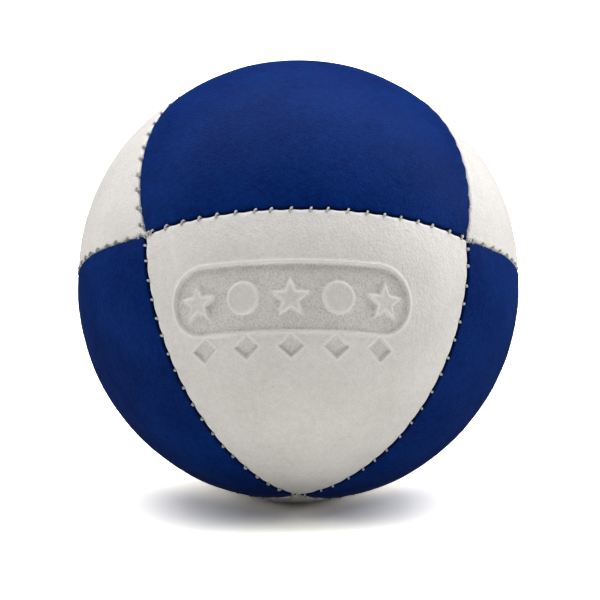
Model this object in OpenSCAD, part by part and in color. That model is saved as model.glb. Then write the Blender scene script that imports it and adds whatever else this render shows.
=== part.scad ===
// Eight-panel leather juggling ball: eight three-cornered panels with turned-in edges,
// twelve stitched seams and a millet filling.
// Millimetres, +Z up, front towards -Y. The origin is on the surface the ball rests on,
// straight below the ball's centre.
// The seams are laid out about a seam axis that runs from the foot corner to the crown,
// and then the whole ball leans back on its lower back panel.

/* [Ball] */
// Diameter of the filled ball
ball_d = 65; // [58:0.5:76]
// Angle by which the seam axis leans back from upright
lean = 26; // [20:1:34]
// Angle by which the panels turn to the right about the seam axis
turn = 3; // [-6:1:6]
// Radius of the flat patch that the filling settles into
rest_r = 5.5; // [3:0.5:6]

/* [Seams] */
// Angle by which the crown corner is pulled back from the seam axis
crown_back = 17; // [0:1:20]
// Angle by which the crown corner is pulled left from the seam axis
crown_left = 3; // [0:1:6]
// Angle by which the four equator seams bow up at their middles
equator_bow = 2; // [0:0.1:3]
// Angle by which the four upper seams bow towards the back
upper_bow = 0.7; // [0:0.1:2]
// Angle by which the two lower front seams bow to the right
lower_bow = 1.2; // [0:0.1:2]

/* [Leather] */
// Thickness of the leather
leather_t = 1.2; // [0.8:0.1:1.6]
// Depth that a panel's edge is turned in to, measured from the ball's surface
turn_in = 3.4; // [3:0.1:4.5]
// Width of the sloped shoulder that a folded edge makes beside its seam
shoulder_w = 0.45; // [0.3:0.05:0.6]
// Depth of the folded edge's lip below the ball's surface
lip_depth = 0.3; // [0.2:0.05:0.4]
// Gap between the two folded edges of a seam
seam_gap = 0.1; // [0.06:0.02:0.2]

/* [Stitching] */
// Stitches along each seam
stitches = 19; // [15:1:21]
// Radius of the thread
thread_r = 0.17; // [0.14:0.01:0.2]
// Radius of each stitch's loop through the two folded edges
loop_r = 0.55; // [0.5:0.05:0.6]
// Depth of a loop's top below the ball's surface
loop_depth = 0.35; // [0.3:0.05:0.5]
// Slant of each stitch across its seam
slant = 20; // [0:5:25]

/* [Hidden] */
$fn = 48;

// Colours of the leather, the thread and the filling
blue = "mediumblue";
white = "ivory";
thread_grey = "lightgrey";
millet_yellow = "khaki";

ball_r = ball_d / 2;
// Angle by which a hollow along a seam runs on past the seam's corners
past_corner = 4;
// Room left around the stitches and around the filling
thread_room = 0.06;
fill_room = 0.15;
// Larger than the ball, for blocks that cut away one side of it
big = 2 * ball_d;
// Turn of a panel's spheres about the line through the panel's middle
sphere_turn = 15;

// Compass directions about the seam axis: 0 is the front, and 90 is the right
function compass(a) = [sin(a), -cos(a), 0];
function unit(v) = v / norm(v);

// The six corners where four seams meet
foot = [0, 0, -1];
crown = unit([-tan(crown_left), tan(crown_back), 1]);
left = compass(turn - 45);
right = compass(turn + 45);
back_right = compass(turn + 135);
back_left = compass(turn - 135);

// The twelve seams: first corner, second corner, bow at the middle
equator_front = [left, right, equator_bow];
equator_right = [right, back_right, equator_bow];
equator_back = [back_right, back_left, equator_bow];
equator_left = [back_left, left, equator_bow];
upper_front_left = [left, crown, upper_bow];
upper_front_right = [right, crown, -upper_bow];
upper_back_right = [back_right, crown, -upper_bow];
upper_back_left = [back_left, crown, upper_bow];
lower_front_left = [left, foot, lower_bow];
lower_front_right = [right, foot, lower_bow];
lower_back_right = [back_right, foot, 0];
lower_back_left = [back_left, foot, 0];

SEAMS = [
    equator_front, equator_right, equator_back, equator_left,
    upper_front_left, upper_front_right, upper_back_right, upper_back_left,
    lower_front_left, lower_front_right, lower_back_right, lower_back_left
];

// The middle of a seam, moved sideways by its bow
function bowed_middle(s) = unit(s[0] + s[1]) * cos(s[2]) + unit(cross(s[0], s[1])) * sin(s[2]);
// The seam lies in a plane through its corners and its bowed middle, and this is the plane's normal
function seam_normal(s) = unit(cross(bowed_middle(s) - s[0], s[1] - bowed_middle(s)));
// The plane's distance from the ball's centre
function seam_offset(s) = ball_r * (seam_normal(s) * s[0]);
// Directions in the plane: towards the first corner, and a quarter turn on
function seam_x(s) = unit(s[0] - seam_normal(s) * (seam_normal(s) * s[0]));
function seam_y(s) = cross(seam_normal(s), seam_x(s));
// The angle that the seam spans in its plane
function seam_arc(s) = atan2(s[1] * seam_y(s), s[1] * seam_x(s));
// Distance from the middle of the plane to a point at a given depth under the seam
function seam_rho(s, depth) = sqrt(pow(ball_r - depth, 2) - pow(seam_offset(s), 2));
// A panel's middle, and on which side of a seam it lies
function panel_middle(p) = unit(p[0][0] + p[0][1] + p[1][0] + p[1][1] + p[2][0] + p[2][1]);
function side(s, p) = sign(seam_normal(s) * panel_middle(p));

// Height of the ball's centre over the flat patch it rests on
centre_h = sqrt(pow(ball_r, 2) - pow(rest_r, 2));
// Depth of the middle of a stitch's loop, and half the width of the channel that holds it
loop_mid = loop_depth + loop_r;
channel_half = loop_r + thread_r + thread_room;
// The channel is eight-sided, and this is half of one side
channel_snub = channel_half * tan(22.5);

// Puts the upright seam layout in its resting pose
module lean_back() {
    translate([0, 0, centre_h]) rotate([-lean, 0, 0]) children();
}

// Everything lower than a height, as a block to cut with
module below(height) {
    translate([-big / 2, -big / 2, height - big]) cube(big);
}

// Places children in a seam's own plane: X to its first corner, Z along its normal
module on_seam(s) {
    x = seam_x(s);
    y = seam_y(s);
    z = seam_normal(s);
    o = z * seam_offset(s);
    multmatrix([
        [x[0], y[0], z[0], o[0]],
        [x[1], y[1], z[1], o[1]],
        [x[2], y[2], z[2], o[2]]
    ]) children();
}

// The same, with Z towards one panel
module on_seam_facing(s, p) {
    on_seam(s) mirror([0, 0, side(s, p) < 0 ? 1 : 0]) children();
}

// The far side of a seam from a panel, up to an inset past the seam's plane
module far_side(s, p, inset) {
    on_seam_facing(s, p) translate([-big / 2, -big / 2, inset - big]) cube(big);
}

// What a panel's folded edge leaves open beside a seam: a sloped shoulder, and the channel for the stitches
module seam_hollow(s, p) {
    rho = seam_rho(s, 0);
    lip_z = channel_half + channel_snub - loop_mid + lip_depth;
    floor_depth = loop_mid + channel_half;
    on_seam_facing(s, p) rotate([0, 0, -past_corner])
        rotate_extrude(angle = seam_arc(s) + 2 * past_corner) polygon([
            [rho + lip_depth, -channel_half],
            [rho + lip_depth, lip_z + 2 * shoulder_w],
            [rho - lip_depth, lip_z],
            [rho - loop_mid + channel_snub, channel_half],
            [rho - loop_mid - channel_snub, channel_half],
            [rho - floor_depth, channel_snub],
            [rho - floor_depth, -channel_half]
        ]);
}

// Places children at one stitch of a seam: X outwards from the loop's middle, Z across the seam
module at_stitch(s, i) {
    pitch = seam_arc(s) / stitches;
    on_seam(s) rotate([0, 0, (i + 0.5) * pitch])
        translate([seam_rho(s, loop_mid), 0, 0]) rotate([slant, 0, 0]) children();
}

// A round bar bent to an arc of a circle, which starts at an angle
module bar_arc(bend_r, bar_r, start, arc) {
    rotate([0, 0, start]) rotate_extrude(angle = arc) translate([bend_r, 0]) circle(r = bar_r);
}

// A sphere whose start line is opposite a panel and whose poles are a quarter turn from the panel
module sphere_facing(p, radius) {
    away = -panel_middle(p);
    rotate([sphere_turn, -asin(away[2]), atan2(away[1], away[0])]) sphere(r = radius);
}

// One leather panel, given the three seams round it
module panel(p) {
    difference() {
        lean_back() difference() {
            sphere_facing(p, ball_r);
            for (s = p) far_side(s, p, seam_gap / 2);
            for (s = p) seam_hollow(s, p);
        }
        below(0);
        difference() {
            lean_back() difference() {
                sphere_facing(p, ball_r - leather_t);
                for (s = p) far_side(s, p, seam_gap / 2 + leather_t);
            }
            below(leather_t);
        }
        lean_back() sphere_facing(p, ball_r - turn_in);
    }
}

// One seam's thread: a loop for each stitch, and the run under them that joins them
module thread(s) {
    pitch = seam_arc(s) / stitches;
    lean_back() {
        for (i = [0 : stitches - 1]) at_stitch(s, i)
            rotate([90, 0, 0]) rotate_extrude() translate([loop_r, 0]) circle(r = thread_r);
        on_seam(s)
            bar_arc(seam_rho(s, loop_depth + 2 * loop_r), 1.2 * thread_r, pitch / 2, seam_arc(s) - pitch);
    }
}

module upper_front_panel() { color(blue) panel([equator_front, upper_front_left, upper_front_right]); }
module upper_left_panel() { color(white) panel([equator_left, upper_front_left, upper_back_left]); }
module upper_right_panel() { color(white) panel([equator_right, upper_front_right, upper_back_right]); }
module upper_back_panel() { color(blue) panel([equator_back, upper_back_left, upper_back_right]); }
module lower_front_panel() { color(white) panel([equator_front, lower_front_left, lower_front_right]); }
module lower_left_panel() { color(blue) panel([equator_left, lower_front_left, lower_back_left]); }
module lower_right_panel() { color(blue) panel([equator_right, lower_front_right, lower_back_right]); }
module lower_back_panel() { color(white) panel([equator_back, lower_back_left, lower_back_right]); }

module equator_front_thread() { color(thread_grey) thread(equator_front); }
module equator_left_thread() { color(thread_grey) thread(equator_left); }
module equator_right_thread() { color(thread_grey) thread(equator_right); }
module equator_back_thread() { color(thread_grey) thread(equator_back); }
module upper_front_left_thread() { color(thread_grey) thread(upper_front_left); }
module upper_front_right_thread() { color(thread_grey) thread(upper_front_right); }
module upper_back_left_thread() { color(thread_grey) thread(upper_back_left); }
module upper_back_right_thread() { color(thread_grey) thread(upper_back_right); }
module lower_front_left_thread() { color(thread_grey) thread(lower_front_left); }
module lower_front_right_thread() { color(thread_grey) thread(lower_front_right); }
module lower_back_left_thread() { color(thread_grey) thread(lower_back_left); }
module lower_back_right_thread() { color(thread_grey) thread(lower_back_right); }

// The filling, as one solid that keeps clear of the turned-in edges
module millet_fill() {
    channel_rho = ball_r - turn_in - fill_room;
    channel_half = seam_gap / 2 + leather_t + fill_room;
    color(millet_yellow) difference() {
        lean_back() difference() {
            sphere(r = ball_r - leather_t - fill_room);
            for (s = SEAMS) on_seam(s) rotate([0, 0, -past_corner])
                rotate_extrude(angle = seam_arc(s) + 2 * past_corner)
                    translate([channel_rho, -channel_half]) square([turn_in + 1, 2 * channel_half]);
        }
        below(leather_t + fill_room);
    }
}

upper_front_panel();
upper_left_panel();
upper_right_panel();
upper_back_panel();
lower_front_panel();
lower_left_panel();
lower_right_panel();
lower_back_panel();
equator_front_thread();
equator_left_thread();
equator_right_thread();
equator_back_thread();
upper_front_left_thread();
upper_front_right_thread();
upper_back_left_thread();
upper_back_right_thread();
lower_front_left_thread();
lower_front_right_thread();
lower_back_left_thread();
lower_back_right_thread();
millet_fill();
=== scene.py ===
"""The juggling ball: eight puffed leather panels, twelve hand-stitched seams and the millet inside."""

import math

import bpy
import numpy as np
from mathutils import Matrix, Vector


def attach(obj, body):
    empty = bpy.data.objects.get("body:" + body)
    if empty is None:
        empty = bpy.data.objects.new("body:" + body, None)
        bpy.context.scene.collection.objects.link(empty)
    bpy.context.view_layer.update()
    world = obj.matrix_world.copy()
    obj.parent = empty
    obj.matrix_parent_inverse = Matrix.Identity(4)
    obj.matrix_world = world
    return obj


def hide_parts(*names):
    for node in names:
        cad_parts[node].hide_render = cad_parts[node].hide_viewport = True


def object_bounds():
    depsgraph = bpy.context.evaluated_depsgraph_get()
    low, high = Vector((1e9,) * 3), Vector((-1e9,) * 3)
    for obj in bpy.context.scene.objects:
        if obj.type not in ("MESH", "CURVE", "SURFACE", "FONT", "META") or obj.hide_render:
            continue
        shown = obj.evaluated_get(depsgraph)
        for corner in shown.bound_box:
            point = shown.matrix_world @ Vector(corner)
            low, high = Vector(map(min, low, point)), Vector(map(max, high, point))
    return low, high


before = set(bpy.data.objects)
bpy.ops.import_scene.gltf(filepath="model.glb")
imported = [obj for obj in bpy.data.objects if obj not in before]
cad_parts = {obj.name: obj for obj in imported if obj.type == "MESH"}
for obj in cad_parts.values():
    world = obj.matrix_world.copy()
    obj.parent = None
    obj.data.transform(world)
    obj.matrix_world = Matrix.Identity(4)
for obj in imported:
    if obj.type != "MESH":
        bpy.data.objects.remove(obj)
cad_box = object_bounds()

# ---------------------------------------------------------------- sizes, in metres and degrees

MM = 0.001
REST_R = 5.5 * MM  # radius of the flat patch the ball rests on
TOP_Z = cad_box[1][2]
BALL_R = (TOP_Z**2 + REST_R**2) / (2 * TOP_Z)  # the ball whose cap of radius REST_R is cut off at z = 0
CENTRE = np.array([0.0, 0.0, TOP_Z - BALL_R])

LEAN = 26  # how far the seam axis leans back
TURN = 3  # how far the panels turn to the right about that axis
CROWN_BACK, CROWN_LEFT = 17, 3  # how far the crown corner is pulled from the seam axis
EQUATOR_BOW = 2.0  # how far the equator seams bow up at their middles
UPPER_BOW, LOWER_BOW = 0.7, 1.2  # how far the upper seams bow back, and the lower ones sideways

STITCHES = 19
LEATHER_T = 1.2 * MM
TURN_IN = 3.4 * MM
FOLD_R = 0.5 * MM  # roundness of a folded edge
SEAM_GAP = 0.03 * MM  # from a folded edge to the middle of its seam
# How far each row of seams is pushed towards its blue panels, and the share of that its stitches move by
OVERHANGS = {"equator": 0.30 * MM, "upper": -0.30 * MM, "lower": 0.30 * MM}
STITCH_SHIFTS = {"equator": 0.5, "upper": 1.0, "lower": 0.5}
OVERHANG_REACH = 1.2 * MM
OVERHANG_FADE = 2  # over how many stitches a seam's push grows from its ends
PUFF = 0.38 * MM  # how much lower a panel is at its edge than at its middle
PUFF_REACH = 4.5 * MM
PINCH = 0.10 * MM  # how far a stitch pulls the folded edge back from the seam
PINCH_REACH = 0.30 * MM
PUCKER = 0.035 * MM  # height of the ripple that the stitches pull into the leather
PUCKER_REACH = 1.4 * MM
PUCKER_FADE = 0.5  # over how much of a stitch the ripple grows from a seam's ends
CORNER_SHARPNESS = 4  # how sharply the folds and puffs of two seams give way to each other in a corner
LUMPS = ((0.07 * MM, 7 * MM, 3), (0.035 * MM, 2.6 * MM, 4))  # height, size and seed of the leather's lumps
# How far each row of seams weaves between its stitches, and half of a stitch's length across the seam
SCALLOPS = {"equator": 0.08 * MM, "upper": 0.04 * MM, "lower": 0.015 * MM}
STITCH_HALVES = {"equator": 0.36 * MM, "upper": 0.20 * MM, "lower": 0.15 * MM}
# A seam pulled so tight that its stitches hide in it
SUNK_SEAM, SUNK_HALF, SUNK_DEPTH = "upper_front_right", 0.15 * MM, 0.45 * MM
HOLE_IN = 0.55 * MM  # from the seam to the needle holes in the white leather
HOLE_R, HOLE_DEPTH = 0.22 * MM, 0.45 * MM
HOLE_FLATNESS = 2  # above 1, a hole has a flat bottom
PAINTED_FOLD_WIDTH = 0.32 * MM  # width of the strip along a fold whose colour is painted light: painted shade on blue panels, a painted highlight on white ones
# The edge folded into a seam: the depth of each ring of points, and how many times fewer it has than the last
FOLD_RINGS = ((1.5 * MM, 1), (2.0 * MM, 2), (2.7 * MM, 2), (TURN_IN, 2))
FOLD_SHIFT = 0.3  # the share of a seam's push that those rings follow
INSIDE_COARSER = 8  # how many times fewer divisions a panel's inside has, as those rings leave it
INSIDE_INSET = 1.3 * LEATHER_T / BALL_R / 1.5  # how far the inside keeps from the panel's edges, as a share
INSIDE_R = BALL_R - LEATHER_T - 0.35 * MM

GRID, MARKED_GRID = 304, 416  # divisions along the edge of a panel, and of the one with the mark

THREAD_R = 0.17 * MM
THREAD_SLANT = 30  # how far a stitch leans from straight across
UNEVEN = 0.12  # how far stitches stray from their even places, as a share of their pitch

# ---------------------------------------------------------------- seams


def unit(v):
    return v / np.linalg.norm(v, axis=-1, keepdims=True)


def tan(degrees):
    return math.tan(math.radians(degrees))


def leaned(v):
    """A direction of the upright seam layout, once the ball leans back."""
    c, s = math.cos(math.radians(LEAN)), math.sin(math.radians(LEAN))
    return np.array([v[0], v[1] * c + v[2] * s, v[2] * c - v[1] * s])


def compass(degrees):
    """A direction on the equator: 0 is the front and 90 the right."""
    a = math.radians(degrees)
    return leaned([math.sin(a), -math.cos(a), 0.0])


CORNERS = {
    "foot": leaned([0.0, 0.0, -1.0]),
    "crown": unit(leaned([-tan(CROWN_LEFT), tan(CROWN_BACK), 1.0])),
    "left": compass(TURN - 45),
    "right": compass(TURN + 45),
    "back_right": compass(TURN + 135),
    "back_left": compass(TURN - 135),
}


class Seam:
    """A seam between two corners. It lies in a plane, which is tilted so that the seam's middle bows."""

    def __init__(self, first, last, bow):
        self.a, self.b = CORNERS[first], CORNERS[last]
        bow = math.radians(bow)
        middle = unit(self.a + self.b) * math.cos(bow)
        middle = middle + unit(np.cross(self.a, self.b)) * math.sin(bow)
        self.normal = unit(np.cross(middle - self.a, self.b - middle))
        self.offset = self.normal @ self.a
        self.x = unit(self.a - self.normal * self.offset)
        self.y = np.cross(self.normal, self.x)
        self.arc = math.atan2(self.b @ self.y, self.b @ self.x)
        self.radius = math.sqrt(1 - self.offset**2)
        self.pitch = BALL_R * self.radius * self.arc / STITCHES
        rng = np.random.default_rng(len(first) * 31 + len(last) * 17 + int(1000 * self.arc))
        self.stray = rng.uniform(-UNEVEN, UNEVEN, (STITCHES, 3))

    def point(self, share):
        """Points on the seam, as directions from the ball's middle, at shares of its length."""
        a = np.asarray(share)[..., None] * self.arc
        return self.normal * self.offset + self.radius * (np.cos(a) * self.x + np.sin(a) * self.y)

    def share(self, d):
        """How far along the seam each direction lies."""
        return np.arctan2(d @ self.y, d @ self.x) / self.arc

    def away(self, d):
        """How far each direction lies from the seam, in metres, positive on the normal's side."""
        return BALL_R * (d @ self.normal - self.offset)


SEAMS = {
    "equator_front": Seam("left", "right", EQUATOR_BOW),
    "equator_right": Seam("right", "back_right", EQUATOR_BOW),
    "equator_back": Seam("back_right", "back_left", EQUATOR_BOW),
    "equator_left": Seam("back_left", "left", EQUATOR_BOW),
    "upper_front_left": Seam("left", "crown", UPPER_BOW),
    "upper_front_right": Seam("right", "crown", -UPPER_BOW),
    "upper_back_right": Seam("back_right", "crown", -UPPER_BOW),
    "upper_back_left": Seam("back_left", "crown", UPPER_BOW),
    "lower_front_left": Seam("left", "foot", LOWER_BOW),
    "lower_front_right": Seam("right", "foot", LOWER_BOW),
    "lower_back_right": Seam("back_right", "foot", 0),
    "lower_back_left": Seam("back_left", "foot", 0),
}

# Each panel: its corners, and the seam between the first and second, second and third, third and first
PANELS = {
    "upper_front": ("left", "right", "crown", "equator_front", "upper_front_right", "upper_front_left"),
    "upper_left": ("back_left", "left", "crown", "equator_left", "upper_front_left", "upper_back_left"),
    "upper_right": ("right", "back_right", "crown", "equator_right", "upper_back_right", "upper_front_right"),
    "upper_back": ("back_right", "back_left", "crown", "equator_back", "upper_back_left", "upper_back_right"),
    "lower_front": ("right", "left", "foot", "equator_front", "lower_front_left", "lower_front_right"),
    "lower_left": ("left", "back_left", "foot", "equator_left", "lower_back_left", "lower_front_left"),
    "lower_right": ("back_right", "right", "foot", "equator_right", "lower_front_right", "lower_back_right"),
    "lower_back": ("back_left", "back_right", "foot", "equator_back", "lower_back_right", "lower_back_left"),
}
BLUE_PANELS = ("upper_front", "upper_back", "lower_left", "lower_right")
HOLED = {"upper_left": ("upper_front_left", "upper_back_left")}  # seams with open needle holes in a panel


def panel_middle(panel):
    return unit(sum(CORNERS[c] for c in PANELS[panel][:3]))


def seam_row(name):
    return name.split("_")[0]


def blue_side(name):
    """On which side of a seam's plane its blue panel lies: 1 for the side of the normal, else -1."""
    blue = [panel for panel in BLUE_PANELS if name in PANELS[panel]][0]
    return np.sign(SEAMS[name].away(panel_middle(blue)))


def overhang(name, share):
    """How far a seam is pushed along its normal at shares of its length, fading out at both ends."""
    from_end = np.minimum(share, 1 - share) * STITCHES
    return blue_side(name) * OVERHANGS[seam_row(name)] * np.clip(from_end / OVERHANG_FADE, 0, 1)


# ---------------------------------------------------------------- smooth noise


def lattice(ix, iy, iz, seed):
    """A repeatable random number from -1 to 1 for each point of a whole-number lattice."""
    h = (ix * 73856093) ^ (iy * 19349663) ^ (iz * 83492791) ^ (seed * 2654435761)
    h = (h ^ (h >> 13)) * 1274126177
    h = (h ^ (h >> 16)) & 0xFFFFFF
    return h / 0x7FFFFF - 1.0


def noise(points, size, seed):
    """Smooth noise from -1 to 1 whose lumps are about size across."""
    p = points / size
    cell = np.floor(p).astype(np.int64)
    f = p - cell
    f = f * f * (3 - 2 * f)
    total = 0
    for dx in (0, 1):
        for dy in (0, 1):
            for dz in (0, 1):
                weight = (
                    (f[:, 0] if dx else 1 - f[:, 0])
                    * (f[:, 1] if dy else 1 - f[:, 1])
                    * (f[:, 2] if dz else 1 - f[:, 2])
                )
                total = total + weight * lattice(cell[:, 0] + dx, cell[:, 1] + dy, cell[:, 2] + dz, seed)
    return total


# ---------------------------------------------------------------- the impressed mark

MARKED_PANEL = "lower_front"
MARK_DEPTH = 0.50 * MM
MARK_EDGE = 0.26 * MM  # width of the mark's sloping edges
MARK_RIM = 0.22 * MM  # half the width of the ridge along them
RIM_RISE = 0.30  # height of that ridge, as a share of the mark's depth
MARK_TURN = -2  # where the mark's middle lies, to the right of the front
BAND_LATITUDE, ROW_LATITUDE = -19.5, -31.5
BAND_HALF_W, BAND_HALF_H = 17.2 * MM, 4.7 * MM
BAND_STEP = 6.7 * MM  # between the shapes in the band
STAR_R, DISC_R = 2.9 * MM, 2.3 * MM
STAR_DROP = 0.2 * MM  # how far a star's middle lies below a disc's
RAISED = 0.9  # how far the shapes in the band rise again, as a share of its depth
ROW_STEP, DIAMOND_R = 6.3 * MM, 1.7 * MM
ROW_DEPTH, ROW_RIM = 0.8, 0.6  # depth of the diamonds and height of their ridges, as shares of the band's
DIAMOND_SLANT = 0.7  # turns steps along x and y into a distance from a diamond's slanting side
RIM_PAINTED_HIGHLIGHT = 0.6  # how much of the white folds' painted highlight those ridges get, a painted highlight along the mark's ridges


def star_distance(x, y, radius):
    """Signed distance to a five-pointed star, negative inside."""
    k1 = np.array([math.cos(math.radians(36)), -math.sin(math.radians(36))])
    k2 = k1 * [-1, 1]
    x = np.abs(x)
    for k in (k1, k2):
        over = np.maximum(k[0] * x + k[1] * y, 0) * 2
        x, y = x - over * k[0], y - over * k[1]
    x = np.abs(x)
    y = y - radius
    sharp = 0.45
    bx, by = -k1[1] * sharp, k1[0] * sharp - 1
    h = np.clip((x * bx + y * by) / (bx * bx + by * by), 0, radius)
    return np.hypot(x - bx * h, y - by * h) * np.sign(y * bx - x * by)


def step_down(distance):
    """0 outside a shape and 1 inside it, with a smooth slope as wide as MARK_EDGE."""
    t = np.clip(0.5 - distance / MARK_EDGE, 0, 1)
    return t * t * (3 - 2 * t)


def ridge(distance):
    """1 on a shape's edge, falling off to 0 on both sides of it."""
    return np.exp(-((distance / MARK_RIM) ** 2))


def mark_depth(d):
    """How far the mark is pressed in, and where the leather is ridged along its edges, both from 0 to 1.

    The mark is a sunk band with raised stars and discs, over a row of diamonds.
    """
    up = CORNERS["foot"] * -1
    ahead = compass(MARK_TURN)
    right = np.cross(ahead, up)
    latitude = np.degrees(np.arcsin(d @ up))
    x = BALL_R * np.arctan2(d @ right, d @ ahead) * np.cos(np.radians(latitude))
    y = BALL_R * np.radians(latitude - BAND_LATITUDE)
    corner = BAND_HALF_H
    over_x = np.maximum(np.abs(x) - BAND_HALF_W + corner, 0)
    band = np.hypot(over_x, np.abs(y)) - corner
    depth = step_down(band)
    rim = ridge(band - MARK_RIM)
    for k in range(-2, 3):
        if k % 2 == 0:
            shape = star_distance(x - k * BAND_STEP, y + STAR_DROP, STAR_R)
        else:
            shape = np.hypot(x - k * BAND_STEP, y) - DISC_R
        depth = depth * (1 - RAISED * step_down(shape))
        rim = np.maximum(rim, ridge(shape + MARK_RIM))
    y = BALL_R * np.radians(latitude - ROW_LATITUDE)
    for k in range(-2, 3):
        shape = (np.abs(x - k * ROW_STEP) + np.abs(y) - DIAMOND_R) * DIAMOND_SLANT
        depth = np.maximum(depth, ROW_DEPTH * step_down(shape))
        rim = np.maximum(rim, ROW_RIM * ridge(shape - MARK_RIM))
    return depth, rim


# ---------------------------------------------------------------- one leather panel


def triangle_grid(n):
    """The three weights of each point of a triangular grid, its faces, and its edge points in order."""
    rows = [np.arange(n - i + 1) for i in range(n + 1)]
    i = np.concatenate([np.full(len(r), k) for k, r in enumerate(rows)])
    j = np.concatenate(rows)
    start = np.concatenate([[0], np.cumsum([len(r) for r in rows])])
    faces = []
    for k in range(n):
        low, high = start[k] + np.arange(n - k), start[k + 1] + np.arange(n - k)
        faces.append(np.stack([low, high, low + 1], axis=1))
        faces.append(np.stack([low[1:], high[:-1], high[1:]], axis=1))
    weights = np.stack([n - i - j, i, j], axis=1).astype(float)
    first_side = start[:n]
    second_side = start[:n + 1][::-1][:n] + np.arange(n)
    third_side = start[0] + np.arange(n, 0, -1)
    return weights, np.concatenate(faces), np.concatenate([first_side, second_side, third_side])


def crowd_edges(weights, n):
    """Moves a grid's points so that its rows lie closest beside the triangle's edges."""
    near = 0.04 * n
    w = weights**2 / (weights + near)
    return w / w.sum(axis=1, keepdims=True)


def panel_directions(panel, weights):
    """Directions from the ball's middle for weights on a panel's corners. Its edges follow the seams."""
    corners = [CORNERS[c] for c in PANELS[panel][:3]]
    total = sum(weights[:, k, None] * corners[k] for k in range(3))
    for k in range(3):
        seam = SEAMS[PANELS[panel][3 + k]]
        a, b = k, (k + 1) % 3
        both = np.maximum(weights[:, a] + weights[:, b], 1e-9)
        share = weights[:, b] / both
        forward = np.allclose(seam.a, corners[a])
        on_seam = seam.point(share if forward else 1 - share)
        chord = (1 - share)[:, None] * corners[a] + share[:, None] * corners[b]
        total = total + (both**2)[:, None] * (on_seam - chord)
    return unit(total)


def stitch_distance(seam, d):
    """The distance along a seam from each direction to an even row's nearest stitch, and to the real one."""
    phase = seam.share(d) * STITCHES - 0.5
    number = np.clip(np.round(phase), 0, STITCHES - 1).astype(int)
    even = (phase - np.round(phase)) * seam.pitch
    real = (phase - number - seam.stray[number, 0]) * seam.pitch
    return even, real


def fold_drop(away):
    """How far a folded edge has curved down, at a distance from its inner end."""
    inside = np.clip(FOLD_R - away, 0, FOLD_R)
    return FOLD_R - np.sqrt(FOLD_R**2 - inside**2)


def panel_points(panel, d):
    """Points on a panel's outside, for directions from the ball's middle, and the marks on it there."""
    middle = panel_middle(panel)
    folds, puffs, drop, shift, press = 0.0, 0.0, 0.0, 0.0, 0.0
    holes, painted_light_share = np.zeros(len(d)), np.zeros(len(d))
    for name in PANELS[panel][3:]:
        seam = SEAMS[name]
        side = np.sign(seam.away(middle))
        away = np.abs(seam.away(d))
        along, to_stitch = stitch_distance(seam, d)
        ends = np.clip(np.minimum(seam.share(d), 1 - seam.share(d)) * STITCHES / PUCKER_FADE, 0, 1)
        pinch = PINCH * np.exp(-((to_stitch / PINCH_REACH) ** 2))
        # Needle holes: sunk into the leather, and darkened in its colour as painted shade.
        if name in HOLED.get(panel, ()):
            slide = to_stitch - side * tan(THREAD_SLANT) * HOLE_IN
            hole = HOLE_FLATNESS * np.exp(-((away - HOLE_IN) ** 2 + slide**2) / HOLE_R**2)
            holes = np.maximum(holes, np.minimum(hole, 1))
        folds = folds + fold_drop(np.maximum(away - pinch, 0)) ** CORNER_SHARPNESS
        puffs = puffs + np.exp(-away / PUFF_REACH) ** CORNER_SHARPNESS
        ripple = np.cos(2 * math.pi * along / seam.pitch)
        drop = drop + PUCKER * ripple * np.exp(-away / PUCKER_REACH) * ends
        weave = SCALLOPS[seam_row(name)] * ripple * ends * np.exp(-away / PUCKER_REACH)
        # painted light along each fold: painted shade on blue panels, a painted highlight on white ones
        painted_light_share = np.maximum(painted_light_share, np.exp(-((away / PAINTED_FOLD_WIDTH) ** 2)))
        gap = side * SEAM_GAP * np.exp(-away / FOLD_R)
        push = overhang(name, seam.share(d)) * np.exp(-away / OVERHANG_REACH)
        shift = shift + (weave + gap + push)[:, None] * seam.normal
    drop = drop + folds ** (1 / CORNER_SHARPNESS) + PUFF * puffs ** (1 / CORNER_SHARPNESS)
    drop = drop + HOLE_DEPTH * holes
    if panel == MARKED_PANEL:
        press, rim = mark_depth(d)
        drop = drop + MARK_DEPTH * (press - RIM_RISE * rim)
        # the mark's ridges get part of the folds' painted highlight
        painted_light_share = np.maximum(painted_light_share, RIM_PAINTED_HIGHLIGHT * rim)
    lumps = sum(height * noise(d * BALL_R, size, seed) for height, size, seed in LUMPS)
    marks = {"press": press + np.zeros(len(d)), "hole": holes, "fold": painted_light_share}
    return d * (BALL_R - drop + lumps)[:, None] + shift, marks


def settle(points, floor_z):
    """Moves points of the ball that would be under the floor up to it, with a soft rim."""
    soft = 0.12 * MM
    z = points[:, 2] - floor_z
    points[:, 2] = floor_z + 0.5 * (z + np.sqrt(z**2 + soft**2))
    return points


def ring_faces(outer, inner):
    """Faces between two closed rings of points. The inner ring has as many points, or half as many."""
    n, m = len(outer), len(inner)
    if n == m:
        a, b = outer, np.roll(outer, -1)
        c, e = inner, np.roll(inner, -1)
        return np.concatenate([np.stack([a, c, b], 1), np.stack([b, c, e], 1)])
    even, odd, after = outer[0::2], outer[1::2], np.roll(outer, -2)[0::2]
    c, e = inner, np.roll(inner, -1)
    triangles = ([even, c, odd], [odd, c, e], [odd, e, after])
    return np.concatenate([np.stack(corners, 1) for corners in triangles])


def inset_weights(weights, inset):
    """Weights moved towards the panel's middle, which keeps them clear of its edges."""
    return weights * (1 - 3 * inset) + inset


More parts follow.
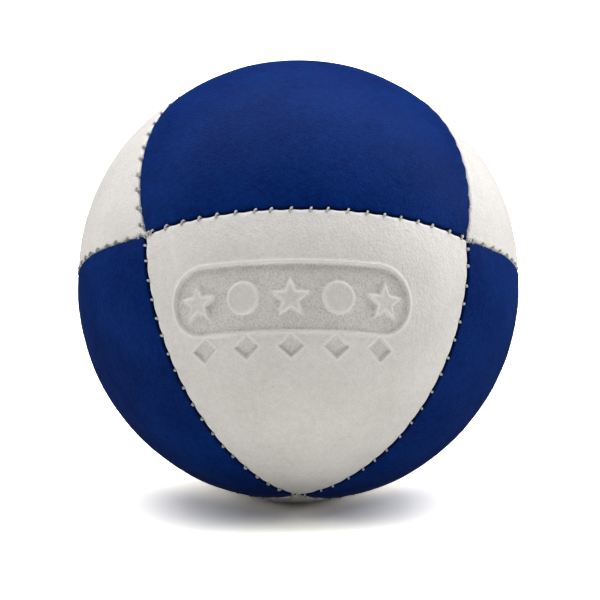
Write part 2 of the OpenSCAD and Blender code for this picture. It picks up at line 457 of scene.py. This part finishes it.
def panel_mesh(panel):
    """A whole leather panel: its puffed outside, the edge folded into the seam, and its inside."""
    grid = MARKED_GRID if panel == MARKED_PANEL else GRID
    weights, faces, edge = triangle_grid(grid)
    shares = crowd_edges(weights, grid)
    outer_d = panel_directions(panel, shares)
    outside, marks = panel_points(panel, outer_d)
    points = [settle(outside + CENTRE, 0)]
    all_faces = [faces]
    ring, ring_d = edge, outer_d[edge]
    count = len(points[0])
    edge_radius = np.linalg.norm(points[0][edge] - CENTRE, axis=1)
    side_shift = points[0][edge] - CENTRE - ring_d * edge_radius[:, None]
    for depth, step in FOLD_RINGS:
        ring_d, side_shift = ring_d[::step], side_shift[::step]
        new = np.arange(count, count + len(ring_d))
        points.append(settle(ring_d * (BALL_R - depth) + side_shift * FOLD_SHIFT + CENTRE, LEATHER_T))
        all_faces.append(ring_faces(ring, new))
        ring, count = new, count + len(new)
    inner_grid = grid // INSIDE_COARSER
    inner_w, inner_faces, inner_edge = triangle_grid(inner_grid)
    inner_w = inset_weights(crowd_edges(inner_w, inner_grid), INSIDE_INSET)
    inner_d = panel_directions(panel, inner_w)
    flange_in = np.arange(count, count + len(inner_edge))
    points.append(settle(inner_d[inner_edge] * (BALL_R - TURN_IN) + CENTRE, LEATHER_T))
    all_faces.append(ring_faces(ring, flange_in))
    count += len(inner_edge)
    points.append(settle(inner_d * INSIDE_R + CENTRE, LEATHER_T))
    all_faces.append(ring_faces(flange_in, count + inner_edge))
    all_faces.append(inner_faces[:, ::-1] + count)
    points = np.concatenate(points)
    unseen = len(points) - len(outer_d)
    marks = {mark: np.concatenate([values, np.full(unseen, values[-1])]) for mark, values in marks.items()}
    return points, np.concatenate(all_faces), marks


def make_object(name, points, faces, material, marks=None):
    """A smooth-shaded mesh object from arrays of points and faces, with a value per point for each mark."""
    mesh = bpy.data.meshes.new(name)
    mesh.vertices.add(len(points))
    mesh.vertices.foreach_set("co", np.asarray(points, np.float32).ravel())
    mesh.loops.add(faces.size)
    mesh.loops.foreach_set("vertex_index", faces.astype(np.int32).ravel())
    sides = faces.shape[1]
    mesh.polygons.add(len(faces))
    mesh.polygons.foreach_set("loop_start", np.arange(0, faces.size, sides, dtype=np.int32))
    mesh.polygons.foreach_set("use_smooth", np.ones(len(faces), bool))
    mesh.update(calc_edges=True)
    mesh.validate()
    mesh.materials.append(material)
    for mark, values in (marks or {}).items():
        mesh.attributes.new(mark, "FLOAT", "POINT").data.foreach_set("value", values.astype(np.float32))
    made = bpy.data.objects.new(name, mesh)
    bpy.context.scene.collection.objects.link(made)
    return made


# ---------------------------------------------------------------- thread


TACKS = 3  # extra stitches that cross each other over a corner
TACK_FIRST, TACK_STEP = 0.02, 0.1  # where the first lies and how far apart they are, as shares of the pitch
STITCH_RISE = 0.7 * THREAD_R  # how high the middle of a stitch lies over the puffed-down leather
STITCH_ARCH, STITCH_DIVE = 0.12 * MM, 0.45 * MM  # how far its ends curve down, and then dive into the leather
RUN_DEPTH = 0.9 * MM  # how much deeper the thread runs to the next stitch
ROUTE_POINTS = 9  # points of the route along each stitch and along each run


def stitch_places(seam, half, tack_at_start, tack_at_end):
    """Where each stitch lies along a seam, how it leans, and its half length, with tacks at the corners."""
    slant = tan(THREAD_SLANT)
    places = [
        ((i + 0.5 + stray[0]) * seam.pitch, slant * (1 + 2 * stray[1]), half * (1 + stray[2]))
        for i, stray in enumerate(seam.stray)
    ]
    tack = [((TACK_FIRST + TACK_STEP * k) * seam.pitch, slant * (-1) ** k, half) for k in range(TACKS)]
    if tack_at_start:
        places = tack + places
    if tack_at_end:
        end = seam.pitch * STITCHES
        places = places + [(end - at, -lean, half) for at, lean, half in tack[::-1]]
    return places


def stitch_path(name, half, tack_at_start, tack_at_end):
    """The route of a seam's thread: over the seam at each stitch, and back under it to the next."""
    seam = SEAMS[name]
    over = np.linspace(-1, 1, ROUTE_POINTS)
    under = np.linspace(0, 1, ROUTE_POINTS)[1:-1]
    top = STITCH_RISE - PUFF
    if name == SUNK_SEAM:
        top -= SUNK_DEPTH
    along, across, height = [], [], []
    places = stitch_places(seam, half, tack_at_start, tack_at_end)
    for k, (at, lean, half) in enumerate(places):
        along.append(at + lean * half * over)
        across.append(half * over)
        height.append(top - STITCH_ARCH * over**2 - STITCH_DIVE * over**6)
        if k < len(places) - 1:
            next_at, next_lean, next_half = places[k + 1]
            leave, arrive = at + lean * half, next_at - next_lean * next_half
            along.append(leave + (arrive - leave) * under)
            across.append(half + (-next_half - half) * (0.5 - 0.5 * np.cos(math.pi * under)))
            height.append(top - STITCH_ARCH - STITCH_DIVE - RUN_DEPTH * np.sin(math.pi * under) ** 0.5)
    along, across, height = (np.concatenate(v) for v in (along, across, height))
    share = along / (seam.pitch * STITCHES)
    across = across + STITCH_SHIFTS[seam_row(name)] * overhang(name, share)
    return seam.point(share) * (BALL_R + height)[:, None] + seam.normal * across[:, None]


def smooth_path(points, step):
    """The route again, rounded by a spline through its points, with points step apart."""
    n = len(points)
    finer = 8
    t = np.linspace(0, n - 1, (n - 1) * finer + 1)
    i = np.clip(np.floor(t).astype(int), 0, n - 2)
    f = (t - i)[:, None]
    p0, p1 = points[np.maximum(i - 1, 0)], points[i]
    p2, p3 = points[i + 1], points[np.minimum(i + 2, n - 1)]
    curve = 0.5 * (
        2 * p1 + (p2 - p0) * f + (2 * p0 - 5 * p1 + 4 * p2 - p3) * f**2 + (3 * p1 - p0 - 3 * p2 + p3) * f**3
    )
    length = np.concatenate([[0], np.cumsum(np.linalg.norm(np.diff(curve, axis=0), axis=1))])
    at = np.arange(0, length[-1], step)
    return np.stack([np.interp(at, length, curve[:, k]) for k in range(3)], axis=1)


PLIES = 3
PLY_RELIEF = 0.14  # how deep the grooves between the plies are, as a share of the thread's radius
PLY_LAY = 1.3 * MM  # length of one full turn of the twisted plies
THREAD_SIDES = 12
THREAD_STEP = 0.11 * MM


def twisted_tube(path):
    """A tube along a path whose cross-section is that of twisted plies, closed at both ends."""
    tangent = unit(np.gradient(path, axis=0))
    side = unit(np.cross(tangent[0], [0.3, 0.5, 0.8]))
    sides = []
    for t in tangent:
        side = unit(side - t * (side @ t))
        sides.append(side)
    sides = np.array(sides)
    other = np.cross(tangent, sides)
    turn = 2 * math.pi * np.arange(len(path)) * THREAD_STEP / PLY_LAY
    angle = np.linspace(0, 2 * math.pi, THREAD_SIDES, endpoint=False)
    radius = THREAD_R * (1 - PLY_RELIEF + PLY_RELIEF * np.cos(PLIES * (angle[None, :] - turn[:, None])))
    ring = radius[..., None] * (
        np.cos(angle)[None, :, None] * sides[:, None, :] + np.sin(angle)[None, :, None] * other[:, None, :]
    )
    points = (path[:, None, :] + ring).reshape(-1, 3)
    index = np.arange(len(path) * THREAD_SIDES).reshape(len(path), THREAD_SIDES)
    a, b = index[:-1], np.roll(index[:-1], -1, axis=1)
    c, e = np.roll(index[1:], -1, axis=1), index[1:]
    faces = np.stack([a, b, c, e], axis=-1).reshape(-1, 4)
    first, last = len(points), len(points) + 1
    points = np.concatenate([points, path[:1], path[-1:]])
    caps = []
    for k in range(0, THREAD_SIDES, 2):
        next_sides = [k, k + 1, (k + 2) % THREAD_SIDES]
        caps.append([first, *index[0][next_sides[::-1]]])
        caps.append([last, *index[-1][next_sides]])
    return points, np.concatenate([faces, np.array(caps)])


# ---------------------------------------------------------------- millet

GRAIN_R = 1.05 * MM
GRAIN_LAYER_R = BALL_R - LEATHER_T - 0.5 * MM - GRAIN_R  # where the outermost grains' middles lie
GRAIN_PACKING = 0.83  # how closely the grains lie side by side
GRAIN_SCATTER, GRAIN_SINK = 0.004, 0.5 * MM  # how far they stray sideways, in radians, and inwards
GRAIN_CLEARANCE = 0.2 * MM  # between the grains and the leather's turned-in edges
FLANGE_HALF = 2.6 * MM  # half the width of the strip along a seam where the grains lie under those edges
FLANGE_PAST = 0.05  # how far that strip runs past the seam's ends, as a share of its length
GRAIN_UNEVEN = (-0.12, 0.06)  # how far their sizes stray, as shares
GRAIN_FLATNESS = 0.86


def grain_shape():
    """One grain: a rounded seed with few faces."""
    rings, sides = 4, 6
    points = [[0, 0, 1.0]]
    for r in range(1, rings):
        a = math.pi * r / rings
        for k in range(sides):
            b = 2 * math.pi * (k + 0.5 * (r % 2)) / sides
            points.append([math.sin(a) * math.cos(b), math.sin(a) * math.sin(b), math.cos(a)])
    points.append([0, 0, -1.0])
    faces = []
    for k in range(sides):
        n = (k + 1) % sides
        faces.append([0, 1 + k, 1 + n])
        for r in range(rings - 2):
            a, b = 1 + r * sides, 1 + (r + 1) * sides
            faces.append([a + k, b + k, b + n])
            faces.append([a + k, b + n, a + n])
        low = 1 + (rings - 2) * sides
        faces.append([low + k, len(points) - 1, low + n])
    return np.array(points), np.array(faces)


def millet_mesh():
    """The outermost grains of the filling, packed side by side all over."""
    shape, shape_faces = grain_shape()
    count = int(GRAIN_PACKING * 4 * (GRAIN_LAYER_R / GRAIN_R) ** 2)
    k = np.arange(count) + 0.5
    tilt = np.arccos(1 - 2 * k / count)
    spin = math.pi * (1 + math.sqrt(5)) * k
    d = np.stack([np.sin(tilt) * np.cos(spin), np.sin(tilt) * np.sin(spin), np.cos(tilt)], axis=1)
    rng = np.random.default_rng(7)
    d = unit(d + rng.normal(0, GRAIN_SCATTER, d.shape))
    middles = d * (GRAIN_LAYER_R - rng.uniform(0, 1, (count, 1)) * GRAIN_SINK)
    for seam in SEAMS.values():
        inside = (np.abs(seam.share(d) - 0.5) < 0.5 + FLANGE_PAST) & (np.abs(seam.away(d)) < FLANGE_HALF)
        middles[inside] *= (BALL_R - TURN_IN - GRAIN_R - GRAIN_CLEARANCE) / GRAIN_LAYER_R
    middles += CENTRE
    middles[:, 2] = np.maximum(middles[:, 2], LEATHER_T + GRAIN_R + GRAIN_CLEARANCE)
    size = GRAIN_R * (1 + rng.uniform(*GRAIN_UNEVEN, (count, 1, 1))) * np.array([1.0, 1.0, GRAIN_FLATNESS])
    axes, _ = np.linalg.qr(rng.normal(size=(count, 3, 3)))
    points = np.einsum("nij,nkj->nki", axes, shape[None] * size) + middles[:, None, :]
    faces = shape_faces[None] + (np.arange(count) * len(shape))[:, None, None]
    return points.reshape(-1, 3), faces.reshape(-1, 3)


# ---------------------------------------------------------------- materials


def colour(*rgb):
    return (*rgb, 1.0)


class Material:
    """A node material, with helpers that add and join nodes."""

    def __init__(self, name):
        self.made = bpy.data.materials.new(name)
        self.made.use_nodes = True
        self.tree = self.made.node_tree
        self.shader = self.tree.nodes["Principled BSDF"]
        self.where = self.add("ShaderNodeTexCoord").outputs["Object"]

    def add(self, kind, **values):
        node = self.tree.nodes.new(kind)
        for name, value in values.items():
            setattr(node, name, value)
        return node

    def join(self, source, target):
        self.tree.links.new(source, target)

    def noise(self, size, detail=2.0, stretch=(1, 1, 1)):
        """Noise whose lumps are about size across, stretched along each axis."""
        scale = self.add("ShaderNodeMapping")
        scale.inputs["Scale"].default_value = [1 / (size * s) for s in stretch]
        self.join(self.where, scale.inputs["Vector"])
        node = self.add("ShaderNodeTexNoise")
        node.inputs["Scale"].default_value = 1.0
        node.inputs["Detail"].default_value = detail
        self.join(scale.outputs["Vector"], node.inputs["Vector"])
        return node.outputs["Fac"]

    def cells(self, size):
        """The distance from the middle of each of many cells about size across."""
        node = self.add("ShaderNodeTexVoronoi")
        node.inputs["Scale"].default_value = 1 / size
        self.join(self.where, node.inputs["Vector"])
        return node.outputs["Distance"]

    def sum(self, *terms):
        """A weighted sum of values, from pairs of a value and its weight."""
        total = None
        for value, weight in terms:
            node = self.add("ShaderNodeMath", operation="MULTIPLY_ADD")
            self.join(value, node.inputs[0])
            node.inputs[1].default_value = weight
            if total is None:
                node.inputs[2].default_value = 0.0
            else:
                self.join(total, node.inputs[2])
            total = node.outputs[0]
        return total

    def attribute(self, name):
        return self.add("ShaderNodeAttribute", attribute_name=name).outputs["Fac"]

    def times(self, one, other):
        node = self.add("ShaderNodeMath", operation="MULTIPLY")
        self.join(one, node.inputs[0])
        self.join(other, node.inputs[1])
        return node.outputs[0]

    def spread(self, value, low, high):
        """0 where a value is low, 1 where it is high, and between them in between."""
        node = self.add("ShaderNodeMapRange")
        node.inputs["From Min"].default_value = low
        node.inputs["From Max"].default_value = high
        self.join(value, node.inputs["Value"])
        return node.outputs["Result"]

    def mix(self, share, paint, other):
        """A painted colour, turned to another one by a share."""
        node = self.add("ShaderNodeMix", data_type="RGBA")
        sockets = {socket.identifier: socket for socket in (*node.inputs, *node.outputs)}
        self.join(share, sockets["Factor_Float"])
        self.join(paint, sockets["A_Color"])
        sockets["B_Color"].default_value = colour(*other)
        return sockets["Result_Color"]

    def ramp(self, value, stops):
        """Colours for values, from pairs of a value and a colour."""
        node = self.add("ShaderNodeValToRGB")
        first, last = node.color_ramp.elements
        first.position, first.color = stops[0]
        last.position, last.color = stops[-1]
        for place, paint in stops[1:-1]:
            node.color_ramp.elements.new(place).color = paint
        self.join(value, node.inputs["Fac"])
        return node.outputs["Color"]

    def bump(self, height, depth):
        node = self.add("ShaderNodeBump")
        node.inputs["Distance"].default_value = depth
        self.join(height, node.inputs["Height"])
        self.join(node.outputs["Normal"], self.shader.inputs["Normal"])

    def rough(self, value, low, high):
        node = self.add("ShaderNodeMapRange")
        node.inputs["To Min"].default_value = low
        node.inputs["To Max"].default_value = high
        self.join(value, node.inputs["Value"])
        self.join(node.outputs["Result"], self.shader.inputs["Roughness"])


MOTTLE = ((9 * MM, 2, 0.3), (0.9 * MM, 4, 0.25), (0.22 * MM, 2, 0.45))  # size, detail and weight of patches
SPECK, PORE_STEP = 0.24 * MM, 1.3 * MM  # size of the specks in a stamped part, and distance between pores
SPECK_LEVELS, PORE_LEVELS = (0.47, 0.62), (0.12, 0.05)  # values at which specks and pores begin and are full
# the holes' darkening is painted shade
HOLE_PAINTED_SHADE, STAMP_SHADE, PORE_SHADE = 0.97, 0.20, 0.16  # how far each darkens the leather
PEBBLE, FINE_GRAIN, CREASE, CREASE_STRETCH = 0.42 * MM, 0.16 * MM, 0.55 * MM, 3.5  # creases run up and down
DARKEST = 0.05  # the darkest that they make it, as a share of the leather's darker colour


def leather(name, stops, folded, roughness, grain, specular):
    """Fine-grained leather: a painted colour on folds (painted shade on blue, a painted highlight on white),
    painted shade in the holes, darker pores and stamped parts, and pebbles.
    """
    m = Material(name)
    mottle = m.sum(*[(m.noise(size, detail), weight) for size, detail, weight in MOTTLE])
    dark = tuple(DARKEST * c for c in stops[0][1][:3])
    stamped = m.times(m.attribute("press"), m.spread(m.noise(SPECK, 2), *SPECK_LEVELS))
    # along folds the colour turns to the folded one, which is painted light: painted shade on blue, a painted
    # highlight on white
    painted = m.mix(m.attribute("fold"), m.ramp(mottle, stops), folded)
    pores = m.spread(m.cells(PORE_STEP), *PORE_LEVELS)
    # painted shade in the needle holes, with darker specks in stamped parts and pores
    shade = m.sum((m.attribute("hole"), HOLE_PAINTED_SHADE), (stamped, STAMP_SHADE), (pores, PORE_SHADE))
    m.join(m.mix(shade, painted, dark), m.shader.inputs["Base Color"])
    m.rough(m.noise(1.5 * MM, 3), *roughness)
    pebbles = m.cells(PEBBLE)
    fine = m.noise(FINE_GRAIN, 3)
    creases = m.noise(CREASE, 2, (1, 1, CREASE_STRETCH))
    m.bump(m.sum((pebbles, 0.6), (fine, 0.5), (creases, 0.6)), grain)
    m.shader.inputs["Specular IOR Level"].default_value = specular
    return m.made


white_leather = leather(
    "white_leather",
    [(0.38, colour(0.70, 0.675, 0.65)), (0.62, colour(0.83, 0.81, 0.79))],
    # the folds' colour: a painted highlight along the white leather's folds
    (0.92, 0.91, 0.90),
    (0.50, 0.62),
    0.085 * MM,
    0.2,
)
blue_leather = leather(
    "blue_leather",
    [(0.38, colour(0.0004, 0.011, 0.094)), (0.62, colour(0.0014, 0.027, 0.175))],
    # the folds' colour: painted shade along the blue leather's folds
    (0.0002, 0.003, 0.028),
    (0.45, 0.58),
    0.060 * MM,
    0.03,
)


def make_thread_material():
    m = Material("waxed_thread")
    m.join(
        m.ramp(m.noise(0.3 * MM, 3), [(0.3, colour(0.40, 0.39, 0.37)), (0.7, colour(0.62, 0.61, 0.58))]),
        m.shader.inputs["Base Color"],
    )
    m.rough(m.noise(0.2 * MM, 2), 0.5, 0.7)
    m.bump(m.noise(0.05 * MM, 2), 0.01 * MM)
    return m.made


def make_millet_material():
    m = Material("millet")
    m.join(
        m.ramp(m.noise(2.2 * MM, 2), [(0.3, colour(0.62, 0.42, 0.12)), (0.7, colour(0.86, 0.70, 0.34))]),
        m.shader.inputs["Base Color"],
    )
    m.rough(m.noise(0.8 * MM, 2), 0.35, 0.55)
    m.bump(m.noise(0.12 * MM, 3), 0.01 * MM)
    return m.made


waxed_thread = make_thread_material()
millet = make_millet_material()

# ---------------------------------------------------------------- the pieces

TACKED_AT_END = ("upper_front_left", "lower_back_right")  # the seams whose tacks close the crown and the foot


def place(piece, node, slot):
    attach(piece, "root")
    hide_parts(node)


for panel in PANELS:
    is_blue = panel in BLUE_PANELS
    points, faces, marks = panel_mesh(panel)
    piece = make_object(f"{panel}_leather", points, faces, blue_leather if is_blue else white_leather, marks)
    place(piece, f"{panel}_panel", "blue_leather" if is_blue else "white_leather")

for name in SEAMS:
    half = SUNK_HALF if name == SUNK_SEAM else STITCH_HALVES[seam_row(name)]
    path = stitch_path(name, half, seam_row(name) == "equator", name in TACKED_AT_END)
    points, faces = twisted_tube(smooth_path(path, THREAD_STEP) + CENTRE)
    piece = make_object(f"{name}_stitching", points, faces, waxed_thread)
    place(piece, f"{name}_thread", "waxed_thread")

points, faces = millet_mesh()
grains = make_object("millet_grains", points, faces, millet)
place(grains, "millet_fill", "millet")

# ---------------------------------------------------------------- floor, light and camera

CAMERA_RISE = 10  # how far the camera looks down
CAMERA_AWAY = 16 * BALL_R
LENS = 212.6
STUDIO_GLOW = 0.07  # how brightly the whole studio shines on the ball
# Each lamp: its place, its width and length, and its power in watts
LAMPS = {
    "overhead": ((0, 0.2, 1.2), (1.8, 1.5), 25),
    "right_box": ((0.85, 0.2, 0.55), (0.8, 0.8), 6.2),
    "left_box": ((-0.9, 0.1, 0.6), (0.8, 0.8), 3.6),
}
FLOOR_HALF = 3.0
FLOOR_WARMTH = (1.0, 0.99, 0.95)
LIT_TONE, LIT_DROP = 0.81, 0.2 * MM  # the floor that lights the ball, and how far it lies under the other
SEEN_TONE = 2.2  # the overexposed floor that the camera sees
BALL_UP, BALL_LEFT = 0.0817 * BALL_R, 0.0081 * BALL_R  # where the ball's middle lies in the picture


def turned(direction, up=(0, 0, 1)):
    """A rotation that looks along a direction."""
    z = -unit(np.array(direction, float))
    x = unit(np.cross(up, z))
    y = np.cross(z, x)
    return Matrix(np.stack([x, y, z], axis=1).tolist()).to_4x4()


def add_camera():
    a = math.radians(CAMERA_RISE)
    back = np.array([0, -math.cos(a), math.sin(a)])
    up = np.array([0, math.sin(a), math.cos(a)])
    place_at = CENTRE + back * CAMERA_AWAY
    target = CENTRE - up * BALL_UP + np.array([1, 0, 0]) * BALL_LEFT
    camera = bpy.data.objects.new("camera", bpy.data.cameras.new("camera"))
    camera.data.lens = LENS
    camera.data.clip_start = 0.01
    camera.matrix_world = turned(target - place_at)
    camera.location = place_at
    bpy.context.scene.collection.objects.link(camera)
    bpy.context.scene.camera = camera


def add_lamp(name, place_at, size, power):
    lamp = bpy.data.objects.new(name, bpy.data.lights.new(name, "AREA"))
    lamp.data.shape = "RECTANGLE"
    lamp.data.size, lamp.data.size_y = size
    lamp.data.energy = power
    place_at = np.array(place_at, float)
    lamp.matrix_world = turned(CENTRE - place_at, (0, 1, 0.01))
    lamp.location = place_at
    bpy.context.scene.collection.objects.link(lamp)


def add_floor(name, height, tone):
    """A plain floor of one tone."""
    corners = FLOOR_HALF * np.array([[-1, -1, 0], [1, -1, 0], [1, 1, 0], [-1, 1, 0]])
    m = Material(name)
    paint = m.add("ShaderNodeBsdfDiffuse")
    paint.inputs["Color"].default_value = colour(*[c * tone for c in FLOOR_WARMTH])
    m.join(paint.outputs["BSDF"], m.tree.nodes["Material Output"].inputs["Surface"])
    floor = make_object(name, corners + [0, 0, height], np.array([[0, 1, 2, 3]]), m.made)
    return floor


def add_world():
    world = bpy.data.worlds.new("studio")
    bpy.context.scene.world = world
    world.use_nodes = True
    sky = world.node_tree.nodes["Background"]
    sky.inputs["Color"].default_value = colour(1.0, 1.0, 1.0)
    sky.inputs["Strength"].default_value = STUDIO_GLOW


floor = add_floor("floor", -LIT_DROP, LIT_TONE)
floor.visible_camera = False
floor.visible_glossy = False
seen_floor = add_floor("seen_floor", 0, SEEN_TONE)
seen_floor.visible_diffuse = False
seen_floor.visible_glossy = False
seen_floor.visible_shadow = False
add_camera()
add_world()
for name, (place_at, size, power) in LAMPS.items():
    add_lamp(name, place_at, size, power)
bpy.context.scene.view_settings.view_transform = "Standard"
